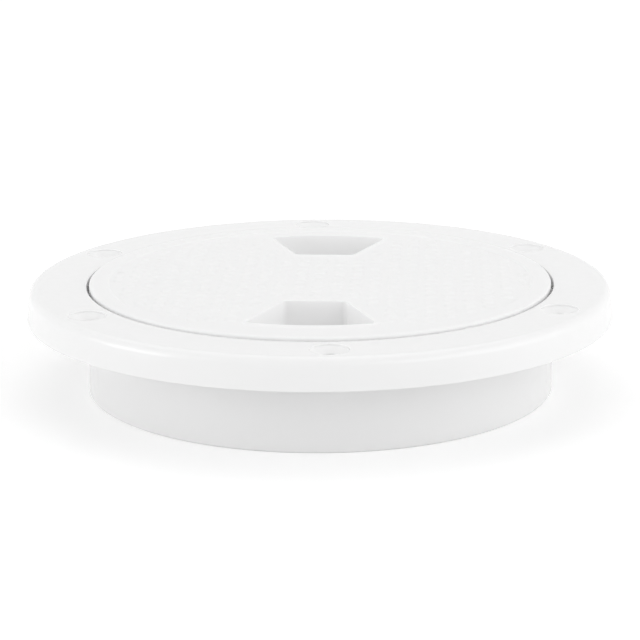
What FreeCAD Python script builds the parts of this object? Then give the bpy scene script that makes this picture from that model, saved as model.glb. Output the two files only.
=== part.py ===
import FreeCAD, Part
import os
import re

import Sketcher
from FreeCAD import Vector

# Deck inspection plate, screw-out type, for a deck cut-out of 115 mm.
# Origin: centre of the flange's underside, which lies on the deck. +Z points up out of the deck.
# The ring is screwed down through six countersunk holes. The cover screws into the ring's collar
# and squeezes an O-ring under its rim.

document = FreeCAD.newDocument("DeckInspectionPlate")

# Driving sizes in millimetres and degrees: name, number, what it is
SIZES = [
    ("collar_diameter", 114.1, "outside of the collar, which sets the cut-out in the deck"),
    ("collar_depth", 18.6, "collar below the deck"),
    ("collar_wall", 3.0, "collar's wall outside its thread"),
    ("flange_width", 14.45, "how far the flange stands out over the collar, at the deck"),
    ("flange_height", 7.3, "top of the flange above the deck"),
    ("flange_draft", 0.5, "how far the flange's side leans in from bottom to top"),
    ("flange_edge_round", 2.1, "round on the flange's top outer edge"),
    ("flange_skin", 2.6, "thickness of the flange's top over the cored underside"),
    ("flange_rim_wall", 2.2, "wall of the flange's outer rim at the deck"),
    ("inner_land", 2.2, "seating land between the collar and the cored channel"),
    ("rib_wall", 1.5, "ribs across the channel"),
    ("rib_count", 18, "ribs round the flange"),
    ("rib_setback", 0.6, "ribs end this far above the deck"),
    ("boss_diameter", 9.4, "screw bosses in the channel"),
    ("ledge_width", 1.75, "ledge round the O-ring's seat, in the lid's pocket"),
    ("screw_inset", 8.35, "screw holes from the flange's outer edge"),
    ("screw_count", 6, "screw holes"),
    ("screw_turn", 30.0, "angle of the first screw hole from +X"),
    ("screw_hole", 4.5, "hole for a 4 mm screw"),
    ("sink_diameter", 8.8, "countersink at the flange's top"),
    ("sink_rim", 0.45, "straight rim of the countersink above its cone"),
    ("sink_angle", 120.0, "full angle of the countersink"),
    ("sink_edge", 0.3, "broken edge round a countersink"),
    ("small_edge", 0.3, "broken edges elsewhere"),
    ("lid_gap", 0.65, "gap round the lid, in the flange's pocket"),
    ("lid_proud", 0.7, "lid above the flange's top"),
    ("lid_rim_thickness", 3.4, "lid's rim from its top to its seat face"),
    ("lid_plate", 3.0, "lid's plate inside the skirt"),
    ("lid_edge_round", 0.6, "round on the lid's top edge"),
    ("seat_gap", 0.3, "lid's seat face above the pocket's ledge"),
    ("thread_depth", 1.4, "radial depth of both threads"),
    ("thread_gap", 0.35, "radial clearance between the threads"),
    ("thread_lead", 4.5, "rise of the thread in one turn"),
    ("thread_root_width", 2.5, "thread's ridge where it stands on its wall"),
    ("thread_crest_width", 1.1, "thread's ridge at its crest"),
    ("thread_sink", 0.4, "how far a ridge reaches into its wall"),
    ("cover_thread_turns", 2.0, "turns of the cover's thread"),
    ("ring_thread_turns", 2.5, "turns of the ring's thread"),
    ("thread_start", 0.6, "skirt's plain end below its thread"),
    ("skirt_wall", 2.3, "skirt's wall inside its thread"),
    ("skirt_depth", 12.0, "skirt below the deck"),
    ("cover_turn", -4.8, "angle of the finger recesses from the Y axis, cover tightened"),
    ("recess_near", 23.8, "recess's near edge from the middle of the lid"),
    ("recess_near_width", 14.6, "recess's width at its near edge"),
    ("recess_side_angle", 21.3, "how far each side of the recess leans out"),
    ("recess_far_wall", 6.5, "recess's far edge from the outside of the skirt"),
    ("recess_depth", 11.0, "recess's depth below the lid's top"),
    ("recess_corner", 1.4, "round in the recess's upright corners"),
    ("cup_wall", 2.0, "walls and floor of the recess cups"),
    ("lid_rib_wall", 1.8, "ribs under the lid's plate"),
    ("lid_rib_height", 3.0, "height of the ribs under the lid's plate"),
    ("lid_rib_spacing", 13.0, "distance between the two ribs that join the cups"),
    ("recess_count", 2, "finger recesses"),
    ("recess_margin", 1.0, "plain margin round a recess"),
    ("grip_border", 4.3, "plain border of the lid round its anti-slip grip"),
    ("grip_pitch", 4.54, "spacing of the studs, both ways"),
    ("grip_depth", 0.25, "height of the studs, flush with the lid's border"),
    ("grip_stud", 1.5, "a stud's flat top"),
    ("grip_valley", 0.9, "flat valley between two studs"),
    ("cut_over", 1.0, "how far a cut starts outside the face that it opens"),
    ("oring_section", 2.6, "O-ring's section"),
    ("oring_clearance", 0.2, "clearance round the O-ring before it is squeezed"),
]

# Worked-out sizes: name, formula on the driving sizes, what it is
WORKED_OUT = [
    ("collar_radius", "collar_diameter / 2", "collar's outer radius"),
    ("ring_radius", "collar_radius + flange_width", "flange's radius at the deck"),
    ("collar_bore", "collar_radius - collar_wall", "collar's bore at its thread's root"),
    ("collar_crest", "collar_bore - thread_depth", "collar's bore at its thread's crest"),
    ("channel_near", "collar_radius + inner_land", "channel's inner radius"),
    ("channel_far", "ring_radius - flange_rim_wall", "channel's outer radius"),
    ("channel_top", "flange_height - flange_skin", "channel's ceiling"),
    ("skirt_outer", "collar_crest - thread_gap", "skirt's radius at its thread's root"),
    ("skirt_inner", "skirt_outer - skirt_wall", "skirt's inner radius"),
    ("oring_radius", "skirt_outer + oring_clearance + oring_section / 2", "O-ring's middle"),
    ("seat_radius", "oring_radius + oring_section / 2 + oring_clearance", "seat's bore"),
    ("pocket_radius", "seat_radius + ledge_width", "radius of the pocket that takes the lid"),
    ("lid_radius", "pocket_radius - lid_gap", "lid's radius"),
    ("lid_top", "flange_height + lid_proud", "lid's top face"),
    ("lid_seat", "lid_top - lid_rim_thickness", "lid's seat face"),
    ("ledge", "lid_seat - seat_gap", "pocket's ledge"),
    ("grip_radius", "lid_radius - grip_border", "radius of the grip"),
    ("recess_far_radius", "skirt_outer - recess_far_wall", "radius of the recess's far edge"),
    ("plate_underside", "lid_top - lid_plate", "underside of the lid's plate"),
    ("oring_level", "lid_seat - oring_clearance - oring_section / 2", "O-ring's height"),
    ("seat_low", "oring_level - (oring_radius - collar_bore)"
     " - sqrt(2) * (oring_section / 2 + oring_clearance)", "foot of the seat's 45 degree cone"),
    ("screw_radius", "ring_radius - screw_inset", "radius of the screw holes' circle"),
    ("sink_low", "flange_height - sink_rim - (sink_diameter - screw_hole) / 2"
     " / tan(sink_angle / 2 * 1deg)", "foot of the countersink"),
    ("recess_floor", "lid_top - recess_depth", "recess's floor"),
    ("cup_bottom", "recess_floor - cup_wall", "underside of the cups"),
    ("recess_slope", "tan(recess_side_angle * 1deg)", "sideways run of a recess side per mm"),
    ("cup_near", "recess_near - cup_wall", "cup's near face"),
    ("cup_near_half", "recess_near_width / 2 + cup_wall / cos(recess_side_angle * 1deg)"
     " - cup_wall * recess_slope", "half the cup's width at its near face"),
    ("cup_far", "skirt_outer - skirt_wall / 2", "cups run into the skirt up to here"),
    ("cover_crest", "skirt_outer + thread_depth", "radius of the cover's thread"),
    ("margin_near", "recess_near - recess_margin", "margin's near edge"),
    ("margin_far", "recess_far_radius + recess_margin", "radius of the margin's far edge"),
    ("margin_near_half", "recess_near_width / 2 + recess_margin / cos(recess_side_angle * 1deg)"
     " - recess_margin * recess_slope", "half the plain margin's width at its near edge"),
    ("cover_thread_low", "thread_start + thread_root_width / 2 - skirt_depth",
     "middle of the cover's ridge where it starts"),
    ("ring_thread_low", "cover_thread_low + thread_lead * (screw_turn - cover_turn) / 360"
     " - thread_lead / 2", "middle of the ring's ridge, half a lead from the cover's"),
]

sheet = document.addObject("Spreadsheet::Sheet", "Sizes")
NAMES = [name for name, _, _ in SIZES + WORKED_OUT]
NAME_PATTERN = re.compile(r"\b(" + "|".join(NAMES) + r")\b")

for row, (name, number, note) in enumerate(SIZES, start=1):
    sheet.set(f"A{row}", note)
    sheet.set(f"B{row}", str(number))
    sheet.setAlias(f"B{row}", name)
for row, (name, formula, note) in enumerate(WORKED_OUT, start=len(SIZES) + 1):
    sheet.set(f"A{row}", note)
    sheet.set(f"B{row}", "=" + formula)
    sheet.setAlias(f"B{row}", name)
document.recompute()


def bound(formula):
    """Write a formula on size names as an expression on the sheet."""
    return NAME_PATTERN.sub(r"Sizes.\1", formula)


def number(formula):
    """Work out a formula on size names."""
    return float(sheet.evalExpression(NAME_PATTERN.sub(r"\1", formula)))


def bind(thing, **formulas):
    """Tie properties of a document object to formulas on the sheet."""
    for name, formula in formulas.items():
        thing.setExpression(name, bound(formula))


def new_body(label):
    """Start a sub-part as a body of its own."""
    body = document.addObject("PartDesign::Body", label)
    body.Label = label
    return body


def origin_part(body, role):
    """Find an origin plane or axis of a body by its role."""
    return next(part for part in body.Origin.OriginFeatures if part.Role == role)


def new_sketch(body, name, role="XZ_Plane"):
    """Start a sketch on one of the body's origin planes."""
    sketch = body.newObject("Sketcher::SketchObject", name)
    sketch.AttachmentSupport = (origin_part(body, role), "")
    sketch.MapMode = "FlatFace"
    return sketch


def hold(sketch, name, kind, *where, size):
    """Add a named sketch constraint whose size is a formula."""
    index = sketch.addConstraint(Sketcher.Constraint(kind, *where, number(size)))
    sketch.renameConstraint(index, name)
    sketch.setExpression(f"Constraints.{name}", bound(size))


def join(sketch, one, end, other, start):
    """Make the end point of one sketch edge the start point of another."""
    sketch.addConstraint(Sketcher.Constraint("Coincident", one, end, other, start))


def outline(sketch, corners):
    """Close straight edges through corners given as pairs of formulas."""
    points = [Vector(number(across), number(up), 0) for across, up in corners]
    count = len(points)
    for here in range(count):
        sketch.addGeometry(Part.LineSegment(points[here], points[(here + 1) % count]))
    for here in range(count):
        join(sketch, here, 2, (here + 1) % count, 1)
    for here, (across, up) in enumerate(corners):
        hold(sketch, f"across{here}", "DistanceX", -1, 1, here, 1, size=across)
        hold(sketch, f"up{here}", "DistanceY", -1, 1, here, 1, size=up)


def circle(sketch, across, diameter):
    """Draw a circle whose middle lies on the sketch's horizontal axis."""
    middle = Vector(number(across), 0, 0)
    ring_line = sketch.addGeometry(Part.Circle(middle, Vector(0, 0, 1), number(diameter) / 2))
    hold(sketch, f"across{ring_line}", "DistanceX", -1, 1, ring_line, 3, size=across)
    hold(sketch, f"up{ring_line}", "DistanceY", -1, 1, ring_line, 3, size="0")
    hold(sketch, f"diameter{ring_line}", "Diameter", ring_line, size=diameter)


def fan(sketch, near, near_half, far):
    """Draw a fan shape: a straight near edge, two sides that lean out by recess_slope, and a far
    edge that is an arc round the origin. A side is x = start + slope y, and meets the arc where
    (start + slope y)^2 + y^2 = far^2."""
    start = f"({near_half} - recess_slope * {near})"
    far_up = (
        f"((sqrt({far}^2 * (1 + recess_slope^2) - {start}^2) - {start} * recess_slope)"
        " / (1 + recess_slope^2))"
    )
    far_half = f"({start} + recess_slope * {far_up})"
    near_left = Vector(-number(near_half), number(near), 0)
    near_right = Vector(number(near_half), number(near), 0)
    far_right = Vector(number(far_half), number(far_up), 0)
    far_left = Vector(-number(far_half), number(far_up), 0)
    far_middle = Vector(0, number(far), 0)
    sketch.addGeometry(Part.LineSegment(near_left, near_right))
    sketch.addGeometry(Part.LineSegment(near_right, far_right))
    sketch.addGeometry(Part.Arc(far_right, far_middle, far_left))
    sketch.addGeometry(Part.LineSegment(far_left, near_left))
    join(sketch, 0, 2, 1, 1)
    join(sketch, 1, 2, 2, 1)
    join(sketch, 2, 2, 3, 1)
    join(sketch, 3, 2, 0, 1)
    join(sketch, 2, 3, -1, 1)
    hold(sketch, "near_left_across", "DistanceX", -1, 1, 0, 1, size=f"-{near_half}")
    hold(sketch, "near_left_up", "DistanceY", -1, 1, 0, 1, size=near)
    hold(sketch, "near_right_across", "DistanceX", -1, 1, 1, 1, size=near_half)
    hold(sketch, "near_right_up", "DistanceY", -1, 1, 1, 1, size=near)
    hold(sketch, "far_radius", "Radius", 2, size=far)
    hold(sketch, "far_right_across", "DistanceX", -1, 1, 2, 1, size=far_half)
    hold(sketch, "far_left_across", "DistanceX", -1, 1, 2, 2, size=f"-{far_half}")


def turned(body, sketch, kind="PartDesign::Revolution", axis="V_Axis"):
    """Turn a sketch once round an axis of its own, adding or cutting."""
    feature = body.newObject(kind, sketch.Name + "Turned")
    feature.Profile = sketch
    feature.ReferenceAxis = (sketch, [axis])
    feature.Angle = 360
    document.recompute()
    return feature


def raised(body, sketch, length):
    """Raise a sketch along +Z by a length."""
    feature = body.newObject("PartDesign::Pad", sketch.Name + "Raised")
    feature.Profile = sketch
    bind(feature, Length=length)
    document.recompute()
    return feature


def sunk(body, sketch, length):
    """Cut a sketch down along -Z by a length."""
    feature = body.newObject("PartDesign::Pocket", sketch.Name + "Sunk")
    feature.Profile = sketch
    bind(feature, Length=length)
    document.recompute()
    return feature


def repeated(body, feature, count):
    """Repeat a feature evenly round the Z axis."""
    pattern = body.newObject("PartDesign::PolarPattern", feature.Name + "Repeated")
    pattern.Originals = [feature]
    pattern.Axis = (origin_part(body, "Z_Axis"), [""])
    pattern.Angle = 360
    bind(pattern, Occurrences=count)
    body.Tip = pattern
    document.recompute()
    return pattern


def dress(body, kind, name, size, wanted):
    """Fillet or chamfer the edges of the body's tip for which wanted(edge) is true."""
    base = body.Tip
    edges = [f"Edge{i}" for i, edge in enumerate(base.Shape.Edges, start=1) if wanted(edge)]
    if not edges:
        raise RuntimeError(f"no edges found for {name}")
    feature = body.newObject(f"PartDesign::{kind}", name)
    feature.Base = (base, edges)
    bind(feature, **{{"Fillet": "Radius", "Chamfer": "Size"}[kind]: size})
    document.recompute()


def ridge(body, name, root, crest, low, turns):
    """Wind a thread's ridge upwards round a wall, right-handed. It stands on the radius root,
    reaches the radius crest and sinks a little into the wall behind root."""
    sunk_in = "-thread_sink" if number(crest) > number(root) else "thread_sink"
    flank = "(thread_root_width - thread_crest_width) / (2 * thread_depth)"
    half_root = f"(thread_root_width / 2 + thread_sink * {flank})"
    section = new_sketch(body, name)
    outline(section, [
        (f"{root} + {sunk_in}", f"{low} - {half_root}"),
        (crest, f"{low} - thread_crest_width / 2"),
        (crest, f"{low} + thread_crest_width / 2"),
        (f"{root} + {sunk_in}", f"{low} + {half_root}"),
    ])
    feature = body.newObject("PartDesign::AdditiveHelix", name + "Wound")
    feature.Profile = section
    feature.ReferenceAxis = (section, ["V_Axis"])
    feature.Mode = "pitch-turns-angle"
    bind(feature, Pitch="thread_lead", Turns=turns)
    document.recompute()
    return feature


def near_to(one, other):
    """Tell whether two lengths are the same but for rounding errors."""
    return abs(one - other) < 1e-4


def round_the_axis(radius, height):
    """Test for circular edges round the Z axis, of a radius and at a height."""
    def test(edge):
        curve = edge.Curve
        return (
            isinstance(curve, Part.Circle)
            and near_to(curve.Radius, number(radius))
            and near_to(curve.Center.z, number(height))
            and near_to(curve.Center.x, 0)
            and near_to(curve.Center.y, 0)
        )
    return test


def turn_about_z(thing, angle, prefix="Placement"):
    """Turn a sub-part, or a sketch on its plane, about the Z axis by an angle in degrees."""
    placement = FreeCAD.Placement(Vector(), FreeCAD.Rotation(Vector(0, 0, 1), number(angle)))
    setattr(thing, prefix, placement)
    bind(thing, **{f"{prefix}.Rotation.Angle": f"({angle}) * 1deg"})


# Deck ring: flange, lid pocket, O-ring seat and collar, turned as one section
ring = new_body("deck_ring")
ring_section = new_sketch(ring, "RingSection")
outline(ring_section, [
    ("collar_bore", "-collar_depth"),
    ("collar_radius", "-collar_depth"),
    ("collar_radius", "0"),
    ("channel_near", "0"),
    ("channel_near", "channel_top"),
    ("channel_far", "channel_top"),
    ("channel_far", "0"),
    ("ring_radius", "0"),
    ("ring_radius - flange_draft", "flange_height"),
    ("pocket_radius", "flange_height"),
    ("pocket_radius", "ledge"),
    ("seat_radius", "ledge"),
    ("seat_radius", "seat_low + seat_radius - collar_bore"),
    ("collar_bore", "seat_low"),
])
turned(ring, ring_section)

# Ribs across the cored channel, half way between the places of the first boss and its neighbours
rib = new_sketch(ring, "Rib", "XY_Plane")
turn_about_z(rib, "180 / rib_count", "AttachmentOffset")
bind(rib, **{"AttachmentOffset.Base.z": "rib_setback"})
outline(rib, [
    ("channel_near - inner_land / 2", "-rib_wall / 2"),
    ("channel_far + flange_rim_wall / 2", "-rib_wall / 2"),
    ("channel_far + flange_rim_wall / 2", "rib_wall / 2"),
    ("channel_near - inner_land / 2", "rib_wall / 2"),
])
repeated(ring, raised(ring, rib, "channel_top - rib_setback"), "rib_count")

# Bosses round the screw holes, down to the deck
boss = new_sketch(ring, "Boss", "XY_Plane")
circle(boss, "screw_radius", "boss_diameter")
repeated(ring, raised(ring, boss, "channel_top"), "screw_count")

# Countersunk screw holes, each turned about its own axis
screw_hole = new_sketch(ring, "ScrewHole")
outline(screw_hole, [
    ("screw_radius", "-cut_over"),
    ("screw_radius + screw_hole / 2", "-cut_over"),
    ("screw_radius + screw_hole / 2", "sink_low"),
    ("screw_radius + sink_diameter / 2", "flange_height - sink_rim"),
    ("screw_radius + sink_diameter / 2", "flange_height + cut_over"),
    ("screw_radius", "flange_height + cut_over"),
])
hole_axis = screw_hole.addGeometry(
    Part.LineSegment(Vector(number("screw_radius"), 0, 0), Vector(number("screw_radius"), 1, 0)), True
)
screw_hole.addConstraint(Sketcher.Constraint("Vertical", hole_axis))
hold(screw_hole, "axis_across", "DistanceX", -1, 1, hole_axis, 1, size="screw_radius")
repeated(ring, turned(ring, screw_hole, "PartDesign::Groove", "Axis0"), "screw_count")

# Rounded and broken edges of the ring
dress(ring, "Chamfer", "SinkEdges", "sink_edge", lambda edge: (
    isinstance(edge.Curve, Part.Circle)
    and near_to(edge.Curve.Radius, number("sink_diameter / 2"))
    and near_to(edge.Curve.Center.z, number("flange_height"))
))
dress(ring, "Fillet", "FlangeEdge", "flange_edge_round",
      round_the_axis("ring_radius - flange_draft", "flange_height"))
dress(ring, "Chamfer", "PocketEdge", "small_edge", round_the_axis("pocket_radius", "flange_height"))
dress(ring, "Chamfer", "CollarEdge", "small_edge", round_the_axis("collar_radius", "-collar_depth"))
ridge(ring, "RingThread", "collar_bore", "collar_crest", "ring_thread_low", "ring_thread_turns")
turn_about_z(ring, "screw_turn")

# Cover: lid and threaded skirt, turned as one section
moulding = new_body("cover_moulding")
cover_section = new_sketch(moulding, "CoverSection")
outline(cover_section, [
    ("0", "plate_underside"),
    ("skirt_inner", "plate_underside"),
    ("skirt_inner", "-skirt_depth"),
    ("skirt_outer", "-skirt_depth"),
    ("skirt_outer", "lid_seat"),
    ("lid_radius", "lid_seat"),
    ("lid_radius", "lid_top"),
    ("0", "lid_top"),
])
turned(moulding, cover_section)

# Sunk field for the anti-slip grip, with a plain margin left standing round each finger recess
field = new_sketch(moulding, "GripField", "XY_Plane")
bind(field, **{"AttachmentOffset.Base.z": "lid_top"})
circle(field, "0", "2 * grip_radius")
sunk(moulding, field, "grip_depth")
margin = new_sketch(moulding, "Margin", "XY_Plane")
bind(margin, **{"AttachmentOffset.Base.z": "lid_top - grip_depth"})
fan(margin, "margin_near", "margin_near_half", "margin_far")
repeated(moulding, raised(moulding, margin, "grip_depth"), "recess_count")

# Cups that close the finger recesses from below
cup = new_sketch(moulding, "Cup", "XY_Plane")
bind(cup, **{"AttachmentOffset.Base.z": "cup_bottom"})
fan(cup, "cup_near", "cup_near_half", "cup_far")
repeated(moulding, raised(moulding, cup, "plate_underside - cup_bottom"), "recess_count")

# Ribs under the lid's plate: two that join the cups, and one across them
RIBS = [
    ("LeftRib", "-lid_rib_spacing / 2", "lid_rib_wall / 2", "0", "cup_near + cup_wall / 2"),
    ("RightRib", "lid_rib_spacing / 2", "lid_rib_wall / 2", "0", "cup_near + cup_wall / 2"),
    ("CrossRib", "0", "skirt_inner + skirt_wall / 2", "0", "lid_rib_wall / 2"),
]
for name, across, half_across, along, half_along in RIBS:
    lid_rib = new_sketch(moulding, name, "XY_Plane")
    bind(lid_rib, **{"AttachmentOffset.Base.z": "plate_underside - lid_rib_height"})
    outline(lid_rib, [
        (f"{across} - ({half_across})", f"{along} - ({half_along})"),
        (f"{across} + {half_across}", f"{along} - ({half_along})"),
        (f"{across} + {half_across}", f"{along} + {half_along}"),
        (f"{across} - ({half_across})", f"{along} + {half_along}"),
    ])
    raised(moulding, lid_rib, "lid_rib_height")

# Finger recesses, sunk from the lid's top into the cups
recess = new_sketch(moulding, "Recess", "XY_Plane")
bind(recess, **{"AttachmentOffset.Base.z": "lid_top"})
fan(recess, "recess_near", "(recess_near_width / 2)", "recess_far_radius")
repeated(moulding, sunk(moulding, recess, "recess_depth"), "recess_count")


def upright_in_recess(edge):
    """Tell whether an edge is one of the recesses' upright corners."""
    low, high = edge.BoundBox.ZMin, edge.BoundBox.ZMax
    return near_to(low, number("recess_floor")) and near_to(high, number("lid_top"))


def borders_recess(edge):
    """Tell whether an edge of the lid's top has a recess wall below it."""
    if not near_to(edge.BoundBox.ZMin, number("lid_top")):
        return False
    walls = moulding.Tip.Shape.ancestorsOfType(edge, Part.Face)
    return any(near_to(wall.BoundBox.ZMin, number("recess_floor")) for wall in walls)


# Rounded and broken edges of the cover
dress(moulding, "Fillet", "RecessCorners", "recess_corner", upright_in_recess)
dress(moulding, "Chamfer", "RecessEdges", "small_edge", borders_recess)
dress(moulding, "Fillet", "LidEdge", "lid_edge_round", round_the_axis("lid_radius", "lid_top"))
dress(moulding, "Chamfer", "SkirtEdge", "small_edge",
      round_the_axis("skirt_outer", "-skirt_depth"))
ridge(moulding, "CoverThread", "skirt_outer", "cover_crest", "cover_thread_low",
      "cover_thread_turns")


def square(half, height):
    """List the corners of an upright square about the Z axis, seen from above."""
    return [Vector(x, y, height) for x, y in ((-half, -half), (half, -half), (half, half), (-half, half))]


def stud():
    """Make one stud of the grip: a square pyramid cut off flat, flush with the lid's top."""
    foot = square((number("grip_pitch") - number("grip_valley")) / 2, number("lid_top - grip_depth"))
    top = square(number("grip_stud") / 2, number("lid_top"))
    walls = [
        Part.makePolygon([foot[i - 1], foot[i], top[i], top[i - 1], foot[i - 1]]) for i in range(4)
    ]
    ends = [Part.makePolygon(foot + foot[:1]), Part.makePolygon(top + top[:1])]
    return Part.Solid(Part.Shell([Part.Face(wire) for wire in walls + ends]))


def on_field(x, y):
    """Tell whether a whole stud at (x, y) stands on the sunk field."""
    half = (number("grip_pitch") - number("grip_valley")) / 2
    reach = (abs(x) + half) ** 2 + (abs(y) + half) ** 2
    if reach > number("grip_radius - small_edge") ** 2:
        return False
    beside = number("margin_near_half") + number("recess_slope") * (abs(y) + half - number("margin_near"))
    return abs(y) + half < number("margin_near") or abs(x) - half > beside


# Studs of the grip in rows both ways, as many as fit whole on the field
studs = document.addObject("Part::Feature", "grip_studs")
pitch = number("grip_pitch")
rows = range(-int(number("grip_radius") / pitch), int(number("grip_radius") / pitch) + 1)
one_stud = stud()
studs.Shape = Part.makeCompound([
    one_stud.translated(Vector(column * pitch, row * pitch, 0))
    for column in rows for row in rows if on_field(column * pitch, row * pitch)
])
cover = document.addObject("Part::Fuse", "cover")
cover.Label = "cover"
cover.Base = moulding
cover.Tool = studs
cover.Refine = False
turn_about_z(cover, "cover_turn")

# O-ring on the cover's skirt, under the lid's rim
o_ring = document.addObject("Part::Torus", "o_ring")
o_ring.Label = "o_ring"
bind(o_ring, Radius1="oring_radius", Radius2="oring_section / 2")
bind(o_ring, **{"Placement.Base.z": "oring_level"})

document.recompute()

# Every object has to be sound before anything is written
for thing in document.Objects:
    if "Invalid" in thing.State or "Error" in thing.State:
        raise RuntimeError(f"{thing.Label} failed: {thing.State}")
SUB_PARTS = [ring, cover, o_ring]
for sub_part in SUB_PARTS:
    if sub_part.Shape.isNull() or not sub_part.Shape.isValid():
        raise RuntimeError(f"{sub_part.Label} has no sound shape")
    if len(sub_part.Shape.Solids) != 1:
        raise RuntimeError(f"{sub_part.Label} is not one solid")

os.makedirs("parts", exist_ok=True)
for sub_part in SUB_PARTS:
    sub_part.Shape.exportStep(f"parts/{sub_part.Label}.step")
    box = sub_part.Shape.BoundBox
    print(f"{sub_part.Label}: {sub_part.Shape.Volume:.0f} mm3,"
          f" z {box.ZMin:.2f} to {box.ZMax:.2f}, across {box.XLength:.2f}")
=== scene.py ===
import math

import bmesh
import bpy
import numpy as np
from mathutils import Matrix, Vector, geometry


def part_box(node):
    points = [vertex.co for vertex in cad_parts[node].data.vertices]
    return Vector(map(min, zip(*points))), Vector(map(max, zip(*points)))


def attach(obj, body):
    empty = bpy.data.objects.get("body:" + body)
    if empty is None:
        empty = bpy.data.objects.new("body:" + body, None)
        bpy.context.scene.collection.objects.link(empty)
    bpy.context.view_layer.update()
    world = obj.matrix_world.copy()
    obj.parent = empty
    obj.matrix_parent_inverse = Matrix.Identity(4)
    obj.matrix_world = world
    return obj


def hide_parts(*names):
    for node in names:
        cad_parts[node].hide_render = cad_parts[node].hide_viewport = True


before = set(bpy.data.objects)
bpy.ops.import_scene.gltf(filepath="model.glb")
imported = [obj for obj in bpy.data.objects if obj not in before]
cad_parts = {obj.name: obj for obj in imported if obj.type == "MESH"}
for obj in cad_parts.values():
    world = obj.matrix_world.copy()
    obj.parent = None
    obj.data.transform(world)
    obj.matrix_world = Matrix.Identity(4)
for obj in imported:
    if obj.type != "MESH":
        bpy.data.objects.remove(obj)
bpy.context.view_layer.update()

# Deck ring
# One white ABS injection moulding: the flange that lies on the deck, the pocket for the lid and
# the collar with the inside thread. It is held by six countersunk screws, which are the boat's.
MM = 0.001
COLUMNS = 360
RING_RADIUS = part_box("deck_ring")[1][1]
RING_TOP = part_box("deck_ring")[1][2]
SIDE_DRAFT = 0.5 * MM
TOP_ROUND = 2.1 * MM
FOOT_EDGE = 0.1 * MM
RING_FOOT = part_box("deck_ring")[0][2]
COLLAR_RADIUS = RING_RADIUS - 14.45 * MM
COLLAR_BORE = COLLAR_RADIUS - 3.0 * MM
COLLAR_EDGE = 0.4 * MM
# A channel from below keeps the flange's walls even.
CHANNEL_NEAR = COLLAR_RADIUS + 2.2 * MM
CHANNEL_FAR = RING_RADIUS - 2.2 * MM
CHANNEL_TOP = RING_TOP - 2.6 * MM
# The pocket is as wide as the collar is outside and has a ledge and a cone seat for the O-ring.
POCKET_RADIUS = COLLAR_RADIUS
POCKET_EDGE = 0.2 * MM
LEDGE = 4.3 * MM
SEAT_RADIUS = POCKET_RADIUS - 1.75 * MM
SEAT_LOW = 1.229 * MM
# A narrow flat strip beside each round keeps the round's smooth shading off the flat.
FLAT_STRIP = 0.3 * MM


def grid_faces(rows, columns, closed=True):
    """Quads over a grid of points kept row by row. Closed joins the last column to the first."""
    row, column = np.mgrid[0:rows - 1, 0:columns if closed else columns - 1]
    right = (column + 1) % columns
    corners = [row * columns + column, row * columns + right,
               (row + 1) * columns + right, (row + 1) * columns + column]
    return np.stack(corners, axis=-1).reshape(-1, 4)


def lathe(profile, middle=(0.0, 0.0), columns=COLUMNS):
    """Turn a profile of (radius, height) points once round an upright axis at middle: each goes to
    middle + (radius * cos, radius * sin, height) for every angle. Profiles run counter-clockwise
    round the plastic with the radius to the right, so that faces point out."""
    radius, height = np.asarray(profile, dtype=float).T
    angle = 2 * np.pi * np.arange(columns) / columns
    x = middle[0] + radius[:, None] * np.cos(angle)
    y = middle[1] + radius[:, None] * np.sin(angle)
    z = np.broadcast_to(height[:, None], x.shape)
    return np.stack([x, y, z], axis=-1).reshape(-1, 3), grid_faces(len(radius), columns)


def arc(middle, radius, start, end, steps):
    """Points on an arc, middle + radius * (cos, sin), from one angle in degrees to another."""
    angle = np.radians(np.linspace(start, end, steps + 1))
    return [(middle[0] + radius * cosine, middle[1] + radius * sine)
            for cosine, sine in zip(np.cos(angle), np.sin(angle))]


outside = [(COLLAR_BORE, RING_FOOT), (COLLAR_BORE + FLAT_STRIP, RING_FOOT)]
outside += arc((COLLAR_RADIUS - COLLAR_EDGE, RING_FOOT + COLLAR_EDGE), COLLAR_EDGE, -90, 0, 4)
outside += [(COLLAR_RADIUS, 0), (CHANNEL_NEAR, 0), (CHANNEL_NEAR, CHANNEL_TOP)]

side_lean = math.degrees(math.atan2(SIDE_DRAFT, RING_TOP))
top_far = RING_RADIUS - SIDE_DRAFT - TOP_ROUND
rim = [(CHANNEL_FAR, CHANNEL_TOP), (CHANNEL_FAR, 0)]
rim += arc((RING_RADIUS - FOOT_EDGE, FOOT_EDGE), FOOT_EDGE, -90, side_lean, 3)
rim += arc((top_far, RING_TOP - TOP_ROUND), TOP_ROUND, side_lean, 90, 16)
rim += [(top_far - FLAT_STRIP, RING_TOP)]

top_near = POCKET_RADIUS + POCKET_EDGE
pocket = [(top_near + FLAT_STRIP, RING_TOP)]
pocket += arc((top_near, RING_TOP - POCKET_EDGE), POCKET_EDGE, 90, 180, 5)
pocket += [(POCKET_RADIUS, LEDGE), (SEAT_RADIUS, LEDGE)]
pocket += [(SEAT_RADIUS, SEAT_LOW + SEAT_RADIUS - COLLAR_BORE), (COLLAR_BORE, SEAT_LOW)]
ring_parts = [lathe(outside), lathe(rim), lathe(pocket)]

# The thread in the collar's bore has the same lead and section as the cover's.
THREAD_LEAD = 4.5 * MM
THREAD_DEPTH = 1.4 * MM
THREAD_ROOT = 2.5 * MM
THREAD_ROOT_ROUND = 0.4 * MM
THREAD_CREST = 1.1 * MM
THREAD_CREST_ROUND = 0.25 * MM
THREAD_FADE_TURNS = 0.1
RING_THREAD_START = -11.965 * MM
RING_THREAD_TURNS = 2.5
RING_THREAD_TURNED = math.radians(30)


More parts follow.
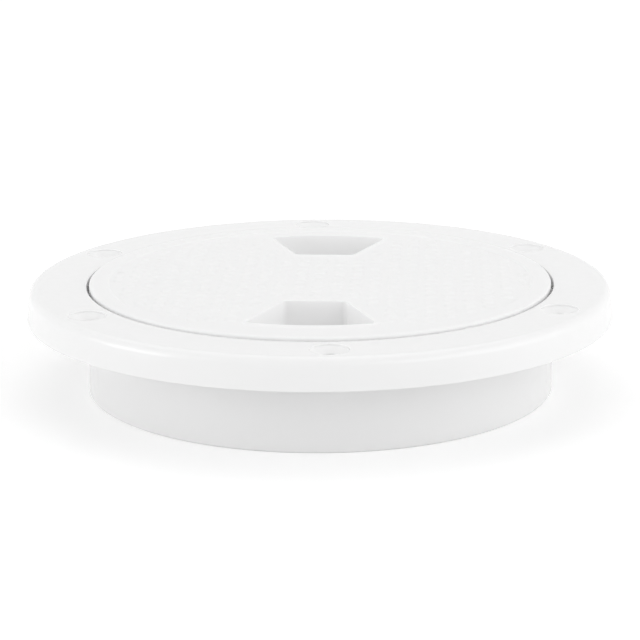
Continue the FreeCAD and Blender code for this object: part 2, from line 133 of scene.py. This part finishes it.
def thread_section():
    """One lead of a thread's section as (height from its middle, share of its depth): straight
    flanks that run into the wall and the crest by small rounds."""
    flank_run = (THREAD_ROOT - THREAD_CREST) / 2
    lean = math.degrees(math.atan2(THREAD_DEPTH, flank_run))
    setback = math.tan(math.radians(lean / 2))
    foot_middle = (-THREAD_ROOT / 2 - THREAD_ROOT_ROUND * setback, THREAD_ROOT_ROUND)
    head_middle = (-THREAD_CREST / 2 + THREAD_CREST_ROUND * setback,
                   THREAD_DEPTH - THREAD_CREST_ROUND)
    low_side = np.array(arc(foot_middle, THREAD_ROOT_ROUND, -90, lean - 90, 3)
                        + arc(head_middle, THREAD_CREST_ROUND, 90 + lean, 90, 3))
    high_side = low_side[::-1] * (-1, 1)
    section = np.concatenate([[(-THREAD_LEAD / 2, 0)], low_side, high_side])
    return section[:, 0], section[:, 1] / THREAD_DEPTH


def easing(way):
    """A step that leaves and arrives level: 3 w^2 - 2 w^3 for w from 0 to 1."""
    return way * way * (3 - 2 * way)


def threaded_wall(radius, depth, low, high, start, turns, turned):
    """A wall of revolution with a thread on it: at each point the radius grows by the depth times
    the section's share there. The rows climb by one lead a turn, so that they follow the thread,
    and stop at the wall's low and high ends. Depth is positive where the thread stands outwards,
    start is the height of its middle where it starts and turned is the angle there. The ridge
    fades out over the first and last tenth of a turn."""
    offset, share = thread_section()
    first = math.floor((low - start) / THREAD_LEAD) - 1
    last = math.ceil((high - start) / THREAD_LEAD) + 1
    lap = np.repeat(np.arange(first, last), len(offset))[:, None]
    share = np.tile(share, last - first)[:, None]
    middle = start + np.tile(offset, last - first)[:, None] + lap * THREAD_LEAD
    part_turn = np.linspace(0, 1, COLUMNS + 1)[None, :]
    along = lap + part_turn
    fade_in = np.clip(along / THREAD_FADE_TURNS, 0, 1)
    fade_out = np.clip((turns - along) / THREAD_FADE_TURNS, 0, 1)
    reach = radius + depth * share * easing(fade_in * fade_out)
    height = np.clip(middle + part_turn * THREAD_LEAD, low, high)
    angle = turned + 2 * np.pi * part_turn
    points = np.stack([reach * np.cos(angle), reach * np.sin(angle), height], axis=-1)
    return points.reshape(-1, 3), grid_faces(len(middle), COLUMNS + 1, closed=False)


def flipped(part):
    """The same surface with its faces turned over."""
    points, faces = part
    return points, faces[:, ::-1]


bore_wall = threaded_wall(COLLAR_BORE, -THREAD_DEPTH, RING_FOOT, SEAT_LOW,
                          RING_THREAD_START, RING_THREAD_TURNS, RING_THREAD_TURNED)
ring_parts.append(flipped(bore_wall))

# Each screw hole has a sink for the screw's head and ends in a boss, just short of the deck.
SCREW_COUNT = 6
SCREW_RADIUS = RING_RADIUS - 8.35 * MM
SCREW_HOLE = 2.25 * MM
SINK_RADIUS = 4.4 * MM
SINK_EDGE = 0.2 * MM
SINK_RIM = 0.45 * MM
SINK_CONE = (SINK_RADIUS - SCREW_HOLE) / math.tan(math.radians(60))
BOSS_RADIUS = 4.7 * MM
BOSS_FOOT = 0.02 * MM
HOLE_COLUMNS = 72
sink_reach = SINK_RADIUS + SINK_EDGE + FLAT_STRIP
screw_hole = [(sink_reach, RING_TOP)]
screw_hole += arc((SINK_RADIUS + SINK_EDGE, RING_TOP - SINK_EDGE), SINK_EDGE, 90, 180, 5)
screw_hole += [(SINK_RADIUS, RING_TOP - SINK_RIM), (SCREW_HOLE, RING_TOP - SINK_RIM - SINK_CONE)]
screw_hole += [(SCREW_HOLE, BOSS_FOOT), (BOSS_RADIUS, BOSS_FOOT), (BOSS_RADIUS, CHANNEL_TOP)]
hole_turns = 2 * np.pi * (np.arange(SCREW_COUNT) + 0.5) / SCREW_COUNT
hole_middles = SCREW_RADIUS * np.stack([np.cos(hole_turns), np.sin(hole_turns)], axis=-1)
ring_parts += [lathe(screw_hole, middle, HOLE_COLUMNS) for middle in hole_middles]


def circle(radius, middle=(0.0, 0.0), columns=COLUMNS):
    """Points round a circle, at the same angles as lathe uses."""
    angle = 2 * np.pi * np.arange(columns) / columns
    return np.asarray(middle) + radius * np.stack([np.cos(angle), np.sin(angle)], axis=-1)


def flat_face(outline, height, holes=(), filled=(0,)):
    """A flat surface that faces up: triangles between an outline and the holes in it. A hole may
    reach over the outline. Kept is what lies inside just the loops named by filled, where 0 is
    the outline and 1 the first hole."""
    loops = [np.asarray(outline), *holes]
    ends = np.cumsum([len(loop) for loop in loops])
    corners = [list(range(end - len(loop), end)) for loop, end in zip(loops, ends)]
    flat = [Vector(point) for point in np.concatenate(loops) / MM]
    all_triangles, closest_mm = 0, 1e-5
    points, _, triangles, _, _, inside = geometry.delaunay_2d_cdt(
        flat, [], corners, all_triangles, closest_mm)
    kept = [triangle for triangle, loop in zip(triangles, inside) if sorted(loop) == list(filled)]
    points = np.array([tuple(point) for point in points]) * MM
    return np.hstack([points, np.full((len(points), 1), height)]), np.array(kept)


sinks = [circle(sink_reach, middle, HOLE_COLUMNS) for middle in hole_middles]
bosses = [circle(BOSS_RADIUS, middle, HOLE_COLUMNS) for middle in hole_middles]
ring_parts.append(flat_face(circle(top_far - FLAT_STRIP), RING_TOP,
                            [circle(top_near + FLAT_STRIP)] + sinks))
ring_parts.append(flipped(flat_face(circle(CHANNEL_FAR), CHANNEL_TOP,
                                    [circle(CHANNEL_NEAR)] + bosses)))
# The bosses reach into the channel's near wall, where their tops are closed too.
for boss in bosses:
    ring_parts.append(flat_face(circle(CHANNEL_NEAR), CHANNEL_TOP, [boss], filled=(0, 1)))

# Ribs cross the channel and end inside its walls and its roof.
RIB_COUNT = 18
RIB_FOOT = 0.5 * MM
RIB_HALF_WIDTH = 0.75 * MM
RIB_IN_WALL = 0.5 * MM
RIB_IN_ROOF = 0.1 * MM


def box(low, high):
    """A closed box between its low and its high corner."""
    points = np.array([(x, y, z) for z in (low[2], high[2]) for y in (low[1], high[1])
                       for x in (low[0], high[0])])
    faces = np.array([[0, 2, 3, 1], [4, 5, 7, 6], [0, 1, 5, 4], [2, 6, 7, 3], [0, 4, 6, 2],
                      [1, 3, 7, 5]])
    return points, faces


def turn_about_z(angle):
    """The matrix that turns rows of points about the Z axis, anticlockwise from above."""
    cosine, sine = math.cos(angle), math.sin(angle)
    return np.array([[cosine, sine, 0], [-sine, cosine, 0], [0, 0, 1]])


rib_points, rib_faces = box((CHANNEL_NEAR - RIB_IN_WALL, -RIB_HALF_WIDTH, RIB_FOOT),
                            (CHANNEL_FAR + RIB_IN_WALL, RIB_HALF_WIDTH, CHANNEL_TOP + RIB_IN_ROOF))
for rib in range(RIB_COUNT):
    ring_parts.append((rib_points @ turn_about_z(2 * math.pi * rib / RIB_COUNT), rib_faces))

# Corners closer than this are welded into one.
WELD_DISTANCE = 0.001 * MM


def join_open_edges(mesh):
    """Split every open edge where the corner of another open edge lies on it, and weld them."""
    open_edges = [edge for edge in mesh.edges if edge.is_boundary]
    corners = list({corner for edge in open_edges for corner in edge.verts})
    places = np.array([corner.co for corner in corners]).reshape(-1, 3)
    end_share = 0.001
    for edge in open_edges:
        start = edge.verts[0]
        origin, along = np.array(start.co), np.array(edge.verts[1].co - start.co)
        shares = (places - origin) @ along / (along @ along)
        misses = np.linalg.norm(places - origin - shares[:, None] * along, axis=1)
        between = (misses < WELD_DISTANCE) & (shares > end_share) & (shares < 1 - end_share)
        done = 0.0
        for share in np.sort(shares[between]):
            _, start = bmesh.utils.edge_split(edge, start, (share - done) / (1 - done))
            done = share
    bmesh.ops.remove_doubles(mesh, verts=mesh.verts, dist=WELD_DISTANCE)


def make_piece(name, parts, sharp_degrees=32):
    """Join surfaces into one mesh, weld their shared edges and shade it smooth up to an angle."""
    points, faces, count = [], [], 0
    for part_points, part_faces in parts:
        points.append(part_points)
        faces += (part_faces + count).tolist()
        count += len(part_points)
    mesh = bpy.data.meshes.new(name)
    mesh.from_pydata(np.concatenate(points), [], faces)
    welded = bmesh.new()
    welded.from_mesh(mesh)
    bmesh.ops.remove_doubles(welded, verts=welded.verts, dist=WELD_DISTANCE)
    join_open_edges(welded)
    welded.to_mesh(mesh)
    welded.free()
    mesh.shade_smooth()
    mesh.set_sharp_from_angle(angle=math.radians(sharp_degrees))
    piece = bpy.data.objects.new(name, mesh)
    bpy.context.scene.collection.objects.link(piece)
    return piece


ring = make_piece("ring_moulding", ring_parts)


def linear(code):
    """Turn an sRGB hex colour into the linear values that a shader takes."""
    parts = [int(code[i:i + 2], 16) / 255 for i in (1, 3, 5)]
    return [p / 12.92 if p <= 0.04045 else ((p + 0.055) / 1.055) ** 2.4 for p in parts] + [1.0]


def add(tree, kind, settings=None, links=None):
    """Add a shader node, set its properties or sockets, and link other nodes' outputs into it.
    A socket goes by its name, or by its number where the node has several of one name."""
    node = tree.nodes.new(kind)
    for key, value in (settings or {}).items():
        if isinstance(key, int) or key in node.inputs:
            node.inputs[key].default_value = value
        else:
            setattr(node, key, value)
    for key, source in (links or {}).items():
        tree.links.new(source, node.inputs[key])
    return node


def moulded_abs(name, light, dark, roughness, peel_mm, peel_height_mm, flow_mm=35.714):
    """White ABS as it comes from a polished mould: an even body colour with faint, broad flow
    marks, a gloss that varies a little, and a shallow orange peel a few millimetres across.
    Light goes a little way into it, which keeps the shades in its corners soft."""
    material = bpy.data.materials.new(name)
    material.use_nodes = True
    tree = material.node_tree
    tree.nodes.clear()
    place = add(tree, "ShaderNodeTexCoord").outputs["Object"]
    flow = add(tree, "ShaderNodeTexNoise",
               {"Scale": 1 / (flow_mm * MM), "Detail": 3.0, "Roughness": 0.5}, {"Vector": place})
    tint = add(tree, "ShaderNodeMix", {"data_type": "RGBA", 6: linear(dark), 7: linear(light)},
               {0: flow.outputs["Fac"]})
    fine = add(tree, "ShaderNodeTexNoise", {"Scale": 1 / (peel_mm * MM), "Detail": 2.0},
               {"Vector": place})
    gloss = add(tree, "ShaderNodeMapRange",
                {"To Min": roughness * 0.85, "To Max": roughness * 1.2},
                {"Value": fine.outputs["Fac"]})
    peel = add(tree, "ShaderNodeBump", {"Strength": 1.0, "Distance": peel_height_mm * MM},
               {"Height": fine.outputs["Fac"]})
    shader = add(tree, "ShaderNodeBsdfPrincipled",
                 {"IOR": 1.53, "Subsurface Weight": 0.3, "Subsurface Radius": (1.0, 1.0, 1.0),
                  "Subsurface Scale": 1.0 * MM},
                 {"Base Color": tint.outputs[2], "Roughness": gloss.outputs["Result"],
                  "Normal": peel.outputs["Normal"]})
    add(tree, "ShaderNodeOutputMaterial", {}, {"Surface": shader.outputs["BSDF"]})
    return material


# Glossy: the flange's rounding shows the lights as soft, bright streaks.
ring_abs = moulded_abs("glossy moulded ABS", "#fafafa", "#f7f7f7",
                       roughness=0.22, peel_mm=2.2, peel_height_mm=0.004)
ring.data.materials.append(ring_abs)
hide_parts("deck_ring")
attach(ring, "ring")

# O-ring
# A plain ring of black EPDM rubber, 2.6 mm thick, stretched over the cover's thread and left in
# the corner under the lid's rim, where tightening squeezes it against the ring's seat.
SECTION_STEPS = 32
o_ring_low, o_ring_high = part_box("o_ring")
section_radius = (o_ring_high[2] - o_ring_low[2]) / 2
section_middle = (o_ring_high[0] - section_radius, (o_ring_low[2] + o_ring_high[2]) / 2)
o_ring = make_piece("o_ring_rubber",
                    [lathe(arc(section_middle, section_radius, 0, 360, SECTION_STEPS))])

# Near black, with a dull sheen that grease and dust break up about every millimetre.
DUST_MM = 1.1111
rubber = bpy.data.materials.new("greased EPDM rubber")
rubber.use_nodes = True
rubber_tree = rubber.node_tree
rubber_tree.nodes.clear()
rubber_place = add(rubber_tree, "ShaderNodeTexCoord").outputs["Object"]
rubber_dust = add(rubber_tree, "ShaderNodeTexNoise",
                  {"Scale": 1 / (DUST_MM * MM), "Detail": 4.0}, {"Vector": rubber_place})
rubber_gloss = add(rubber_tree, "ShaderNodeMapRange", {"To Min": 0.35, "To Max": 0.6},
                   {"Value": rubber_dust.outputs["Fac"]})
rubber_grain = add(rubber_tree, "ShaderNodeBump", {"Distance": 0.02 * MM},
                   {"Height": rubber_dust.outputs["Fac"]})
rubber_shader = add(rubber_tree, "ShaderNodeBsdfPrincipled",
                    {"IOR": 1.5, "Base Color": linear("#1b1b1c")},
                    {"Roughness": rubber_gloss.outputs["Result"],
                     "Normal": rubber_grain.outputs["Normal"]})
add(rubber_tree, "ShaderNodeOutputMaterial", {}, {"Surface": rubber_shader.outputs["BSDF"]})
o_ring.data.materials.append(rubber)
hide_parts("o_ring")
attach(o_ring, "seal")

# Cover
# One white ABS injection moulding: the lid with its anti-slip studs, the skirt with the outside
# thread and two deep finger recesses, closed from below by cups. It screws into the ring.
COVER_TURN = math.radians(-4.8)
LID_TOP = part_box("cover")[1][2]
LID_SEAT = LID_TOP - 3.4 * MM
LID_RADIUS = POCKET_RADIUS - 0.65 * MM
LID_EDGE = 0.6 * MM
LID_LOW_EDGE = 0.2 * MM
PLATE_UNDER = LID_TOP - 3.0 * MM
SKIRT_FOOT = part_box("cover")[0][2]
SKIRT_OUTER = COLLAR_BORE - THREAD_DEPTH - 0.35 * MM
SKIRT_WALL = 2.3 * MM
SKIRT_INNER = SKIRT_OUTER - SKIRT_WALL
SKIRT_EDGE = 0.4 * MM
COVER_THREAD_START = -10.15 * MM
COVER_THREAD_TURNS = 2.0
skirt = [(SKIRT_INNER, PLATE_UNDER), (SKIRT_INNER, SKIRT_FOOT)]
skirt += arc((SKIRT_OUTER - SKIRT_EDGE, SKIRT_FOOT + SKIRT_EDGE), SKIRT_EDGE, -90, 0, 4)
skirt_thread = threaded_wall(SKIRT_OUTER, THREAD_DEPTH, SKIRT_FOOT + SKIRT_EDGE, LID_SEAT,
                             COVER_THREAD_START, COVER_THREAD_TURNS, turned=0.0)

# Inside the lid's rim lies a field for the studs, a soft step lower than the rim.
FIELD = LID_TOP - 0.25 * MM
FIELD_RADIUS = LID_RADIUS - 4.3 * MM
BORDER_STEP = 0.7 * MM
step_ways = np.linspace(0, 1, 8)
field_edge = FIELD_RADIUS - BORDER_STEP - FLAT_STRIP
lid = [(SKIRT_OUTER, LID_SEAT), (LID_RADIUS - LID_LOW_EDGE, LID_SEAT)]
lid += arc((LID_RADIUS - LID_LOW_EDGE, LID_SEAT + LID_LOW_EDGE), LID_LOW_EDGE, -90, 0, 3)
lid += arc((LID_RADIUS - LID_EDGE, LID_TOP - LID_EDGE), LID_EDGE, 0, 90, 8)
lid += [(LID_RADIUS - LID_EDGE - FLAT_STRIP, LID_TOP), (FIELD_RADIUS + FLAT_STRIP, LID_TOP)]
lid += [(FIELD_RADIUS - BORDER_STEP * way, LID_TOP + (FIELD - LID_TOP) * easing(way))
        for way in step_ways]
lid += [(field_edge, FIELD)]
cover_parts = [lathe(skirt), lathe(lid), skirt_thread]

# Each finger recess has a margin round it at the rim's height and goes down into a closed cup.
RECESS_NEAR = 23.8 * MM
RECESS_NEAR_HALF = 7.3 * MM
RECESS_FAR = SKIRT_OUTER - 6.5 * MM
RECESS_SLOPE = math.tan(math.radians(21.3))
RECESS_LEAN = math.hypot(1, RECESS_SLOPE)
RECESS_CORNER = 1.4 * MM
RECESS_EDGE = 0.2 * MM
RECESS_FLOOR = LID_TOP - 11.0 * MM
RECESS_FLOOR_ROUND = 0.5 * MM
RECESS_MARGIN = 1.0 * MM
MARGIN_STEP = 1.0 * MM
CUP_WALL = 2.0 * MM
NEAR_STEPS, CORNER_STEPS, RECESS_SIDE_STEPS, FAR_STEPS = 14, 12, 54, 18


def mirrored_loop(right):
    """Close a line that runs up the right side into a loop, by its mirror image on the left."""
    right = np.array(right)
    return np.concatenate([right[:-1], right[:0:-1] * (-1, 1)])


def fan_outline(offset, far=None):
    """The outline of a finger recess, moved outwards by an offset: a straight near side, sides
    that lean out, an arc round the lid's middle as the far side, and rounded corners. A far
    corner's middle is where x = side_start + slope * y meets the circle of radius far - corner."""
    near = RECESS_NEAR - offset
    half = RECESS_NEAR_HALF + offset * (RECESS_LEAN - RECESS_SLOPE)
    far = RECESS_FAR + offset if far is None else far
    corner = RECESS_CORNER + offset
    side_turn = -math.degrees(math.atan(RECESS_SLOPE))
    near_middle = (half + (RECESS_SLOPE - RECESS_LEAN) * corner, near + corner)
    side_start = half - RECESS_SLOPE * near - corner * RECESS_LEAN
    reach = math.sqrt((far - corner) ** 2 * RECESS_LEAN ** 2 - side_start ** 2)
    far_y = (reach - side_start * RECESS_SLOPE) / RECESS_LEAN ** 2
    far_middle = (side_start + RECESS_SLOPE * far_y, far_y)
    sweep = math.degrees(math.atan2(far_middle[1], far_middle[0]))
    near_arc = arc(near_middle, corner, -90, side_turn, CORNER_STEPS)
    far_arc = arc(far_middle, corner, side_turn, sweep, CORNER_STEPS)
    near_side = np.linspace((0, near), near_arc[0], NEAR_STEPS, endpoint=False).tolist()
    side = np.linspace(near_arc[-1], far_arc[0], RECESS_SIDE_STEPS, endpoint=False).tolist()
    far_side = arc((0, 0), far, sweep, 90, FAR_STEPS)
    return mirrored_loop(near_side + near_arc[:-1] + side + far_arc[:-1] + far_side)


def fan_wall(rows, far=None):
    """A surface through recess outlines, one for each (offset, height)."""
    loops = [fan_outline(offset, far) for offset, _ in rows]
    heights = [np.full((len(loop), 1), height) for loop, (_, height) in zip(loops, rows)]
    points = np.concatenate([np.hstack(pair) for pair in zip(loops, heights)])
    return points, grid_faces(len(rows), len(loops[0]))


def both_ends(part):
    """A part of the cover and its twin on the other side of the lid, half a turn round."""
    points, faces = part
    return [(points, faces), (points * (-1, -1, 1), faces)]


margin_foot = RECESS_MARGIN + MARGIN_STEP / 2
recess_rows = [(margin_foot + FLAT_STRIP, FIELD)]
recess_rows += [(margin_foot - MARGIN_STEP * way, FIELD + (LID_TOP - FIELD) * easing(way))
                for way in step_ways]
recess_rows += arc((RECESS_EDGE, LID_TOP - RECESS_EDGE), RECESS_EDGE, 90, 180, 5)
recess_rows += arc((-RECESS_FLOOR_ROUND, RECESS_FLOOR + RECESS_FLOOR_ROUND),
                   RECESS_FLOOR_ROUND, 0, -90, 4)
skirt_middle = SKIRT_INNER + SKIRT_WALL / 2
cup_outline = fan_outline(CUP_WALL, skirt_middle)
cup_bottom = RECESS_FLOOR - CUP_WALL
recess_parts = [
    fan_wall(recess_rows),
    flat_face(fan_outline(-RECESS_FLOOR_ROUND), RECESS_FLOOR),
    flipped(flat_face(cup_outline, cup_bottom)),
    fan_wall([(CUP_WALL, cup_bottom), (CUP_WALL, PLATE_UNDER)], skirt_middle),
    # The cup reaches into the skirt's wall and is closed there.
    flat_face(cup_outline, PLATE_UNDER, [circle(SKIRT_INNER)]),
]
for part in recess_parts:
    cover_parts += both_ends(part)
cups = [cup_outline, -cup_outline]
cover_parts.append(flipped(flat_face(circle(SKIRT_INNER), PLATE_UNDER, cups)))

# Two ribs join the cups and one crosses them from skirt to skirt. Their ends are in the walls,
# and the one that crosses is a hair lower, so that no two surfaces lie in one plane.
LID_RIB_DEPTH = 3.0 * MM
LID_RIB_HALF_WIDTH = 0.9 * MM
LID_RIB_PLACE = 6.5 * MM
HAIR = 0.02 * MM
ribs_low, ribs_high = PLATE_UNDER - LID_RIB_DEPTH, PLATE_UNDER + RIB_IN_ROOF
rib_reach = RECESS_NEAR - CUP_WALL / 2
for middle in (-LID_RIB_PLACE, LID_RIB_PLACE):
    cover_parts.append(box((middle - LID_RIB_HALF_WIDTH, -rib_reach, ribs_low),
                           (middle + LID_RIB_HALF_WIDTH, rib_reach, ribs_high)))
cover_parts.append(box((-skirt_middle, -LID_RIB_HALF_WIDTH, ribs_low + HAIR),
                       (skirt_middle, LID_RIB_HALF_WIDTH, ribs_high - HAIR)))

# Square studs stand on a lattice round the lid's middle, where the recesses leave them room.
# Their levels go from the foot up as (half side, corner rounding, rise).
STUD_PITCH = 4.54 * MM
STUD_FOOT = 1.82 * MM
STUD_LEVELS = [(STUD_FOOT, 0.1 * MM, 0.0), (1.35 * MM, 0.3 * MM, 0.01 * MM),
               (1.1 * MM, 0.3 * MM, 0.17 * MM), (0.85 * MM, 0.3 * MM, 0.2 * MM)]
STUD_MIDDLE_ROOM = 0.5 * MM
STUD_BORDER_ROOM = 0.1 * MM
steps_out = int(FIELD_RADIUS / STUD_PITCH) + 1
lattice = np.arange(-steps_out, steps_out + 1) * STUD_PITCH
stud_x, stud_y = [values.ravel() for values in np.meshgrid(lattice, lattice)]
stud_end = np.abs(stud_y) + STUD_FOOT
beside_recess = (RECESS_NEAR_HALF + RECESS_MARGIN * RECESS_LEAN
                 + RECESS_SLOPE * (stud_end - RECESS_NEAR))
clear = (stud_end < RECESS_NEAR - RECESS_MARGIN) | (np.abs(stud_x) - STUD_FOOT > beside_recess)
on_field = np.hypot(stud_x, stud_y) < field_edge - STUD_MIDDLE_ROOM
places = np.stack([stud_x, stud_y], axis=-1)[clear & on_field]


def rounded_square(half_side, rounding):
    """The outline of a square round the origin, with each corner rounded in two steps."""
    inset = half_side - rounding
    outline = []
    for quarter, (right, up) in enumerate([(1, 1), (-1, 1), (-1, -1), (1, -1)]):
        start = 90 * quarter
        outline += arc((right * inset, up * inset), rounding, start, start + 90, 2)
    return np.array(outline)


# The border cuts them: each level's points that reach too far out are drawn in to its limit.
levels = []
for half_side, rounding, rise in STUD_LEVELS:
    points = places[:, None] + rounded_square(half_side, rounding)
    limit = field_edge - STUD_BORDER_ROOM - (STUD_FOOT - half_side)
    points *= np.minimum(1, limit / np.linalg.norm(points, axis=-1, keepdims=True))
    height = np.full(points.shape[:2] + (1,), FIELD + rise)
    levels.append(np.concatenate([points, height], axis=-1))
tops = levels[-1].mean(axis=1, keepdims=True)
levels.append(np.broadcast_to(tops, levels[-1].shape))
studs = np.stack(levels, axis=1)
first_points = np.arange(len(studs)) * len(levels) * studs.shape[2]
stud_faces = first_points[:, None, None] + grid_faces(len(levels), studs.shape[2])
cover_parts.append((studs.reshape(-1, 3), stud_faces.reshape(-1, 4)))

recess_outlines = [fan_outline(margin_foot + FLAT_STRIP) * side for side in (1, -1)]
stud_outlines = list(levels[0][:, :, :2])
cover_parts.append(flat_face(circle(field_edge), FIELD, recess_outlines + stud_outlines))

turned = turn_about_z(COVER_TURN)
cover = make_piece("cover_moulding", [(points @ turned, faces) for points, faces in cover_parts])

# Satin, duller than the ring: the lid and its studs show no sharp reflections.
cover_abs = moulded_abs("satin moulded ABS", "#fafafa", "#f7f7f7",
                        roughness=0.3, peel_mm=1.6, peel_height_mm=0.004)
cover.data.materials.append(cover_abs)
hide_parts("cover")
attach(cover, "lid")

# Floor, lights and camera
# A plain white floor under the collar and even white surroundings, as in a light tent. Soft lights
# from the left, the right and the back shape it, and the camera stands low in front.
FLOOR_REACH = 6.0
FLOOR_LIFT = 0.25
SKY_LIGHT = 0.64
floor_corners = [(x * FLOOR_REACH, y * FLOOR_REACH, RING_FOOT)
                 for x, y in [(-1, -1), (1, -1), (1, 1), (-1, 1)]]
floor_mesh = bpy.data.meshes.new("floor")
floor_mesh.from_pydata(floor_corners, [], [(0, 1, 2, 3)])
floor = bpy.data.objects.new("floor", floor_mesh)
bpy.context.scene.collection.objects.link(floor)


def seen_rays(tree):
    """1 for what the camera sees, straight, mirrored or through something clear, and else 0."""
    ray = add(tree, "ShaderNodeLightPath")
    seen = ray.outputs["Is Camera Ray"]
    for kind in ("Is Glossy Ray", "Is Transmission Ray"):
        either = add(tree, "ShaderNodeMath", {"operation": "MAXIMUM"},
                     {0: seen, 1: ray.outputs[kind]})
        seen = either.outputs["Value"]
    return seen


# Matt, without a sheen. What is seen of the paper is lifted a little, up to the tent's white.
paper = bpy.data.materials.new("white paper")
paper.use_nodes = True
paper_tree = paper.node_tree
paper_tree.nodes.clear()
paper_plain = add(paper_tree, "ShaderNodeBsdfDiffuse", {"Color": linear("#f7f7f7")})
paper_lift = add(paper_tree, "ShaderNodeEmission",
                 {"Color": linear("#ffffff"), "Strength": FLOOR_LIFT})
paper_lifted = add(paper_tree, "ShaderNodeAddShader", {},
                   {0: paper_plain.outputs["BSDF"], 1: paper_lift.outputs["Emission"]})
paper_mix = add(paper_tree, "ShaderNodeMixShader", {},
                {0: seen_rays(paper_tree), 1: paper_plain.outputs["BSDF"],
                 2: paper_lifted.outputs["Shader"]})
add(paper_tree, "ShaderNodeOutputMaterial", {}, {"Surface": paper_mix.outputs["Shader"]})
floor_mesh.materials.append(paper)

# The surroundings look pure white, but light the part a little less than that.
world = bpy.data.worlds.new("studio")
bpy.context.scene.world = world
world.use_nodes = True
sky = world.node_tree
sky.nodes.clear()
sky_light = add(sky, "ShaderNodeBackground", {"Color": linear("#ffffff"), "Strength": SKY_LIGHT})
sky_white = add(sky, "ShaderNodeBackground", {"Color": linear("#ffffff"), "Strength": 1.0})
sky_mix = add(sky, "ShaderNodeMixShader", {},
              {0: seen_rays(sky), 1: sky_light.outputs["Background"],
               2: sky_white.outputs["Background"]})
add(sky, "ShaderNodeOutputWorld", {}, {"Surface": sky_mix.outputs["Shader"]})


def soft_light(name, place, size, power):
    """A square studio light, its side in metres and its power in watts, at a place in metres
    from the origin, which it faces."""
    data = bpy.data.lights.new(name, "AREA")
    data.shape = "SQUARE"
    data.size = size
    data.energy = power
    lamp = bpy.data.objects.new(name, data)
    lamp.location = place
    lamp.rotation_euler = (-Vector(place)).to_track_quat("-Z", "Y").to_euler()
    bpy.context.scene.collection.objects.link(lamp)


soft_light("left light", (-1.9, -0.5, 0.9), size=1.8, power=4.8)
soft_light("low left light", (-1.9, -0.5, 0.3), size=1.0, power=8.0)
soft_light("right light", (2.0, -0.2, 0.9), size=1.8, power=6.0)
soft_light("low right light", (1.9, -0.5, 0.3), size=1.0, power=2.6)
soft_light("front right light", (1.5, -1.5, 0.9), size=1.6, power=8.4)
soft_light("high back light", (0, 0.9, 1.8), size=1.8, power=5.8)

# The camera is fitted to the photograph: a long lens half a metre away and 14 degrees up.
CAMERA_AZIMUTH = math.radians(-1.78)
CAMERA_ELEVATION = math.radians(13.87)
CAMERA_ROLL = math.radians(0.326)
CAMERA_DISTANCE = 0.5371
camera_data = bpy.data.cameras.new("camera")
camera_data.lens = 123.11
camera_data.sensor_width = 36.0
camera_data.shift_y = -0.0634
camera_data.clip_start = 0.02
camera = bpy.data.objects.new("camera", camera_data)
backward = Vector((math.sin(CAMERA_AZIMUTH) * math.cos(CAMERA_ELEVATION),
                   -math.cos(CAMERA_AZIMUTH) * math.cos(CAMERA_ELEVATION),
                   math.sin(CAMERA_ELEVATION)))
camera.location = Vector((0, 0, RING_TOP)) + backward * CAMERA_DISTANCE
aim = (-backward).to_track_quat("-Z", "Y").to_matrix() @ Matrix.Rotation(-CAMERA_ROLL, 3, "Z")
camera.rotation_euler = aim.to_euler()
bpy.context.scene.collection.objects.link(camera)
bpy.context.scene.camera = camera
bpy.context.scene.view_settings.view_transform = "Standard"
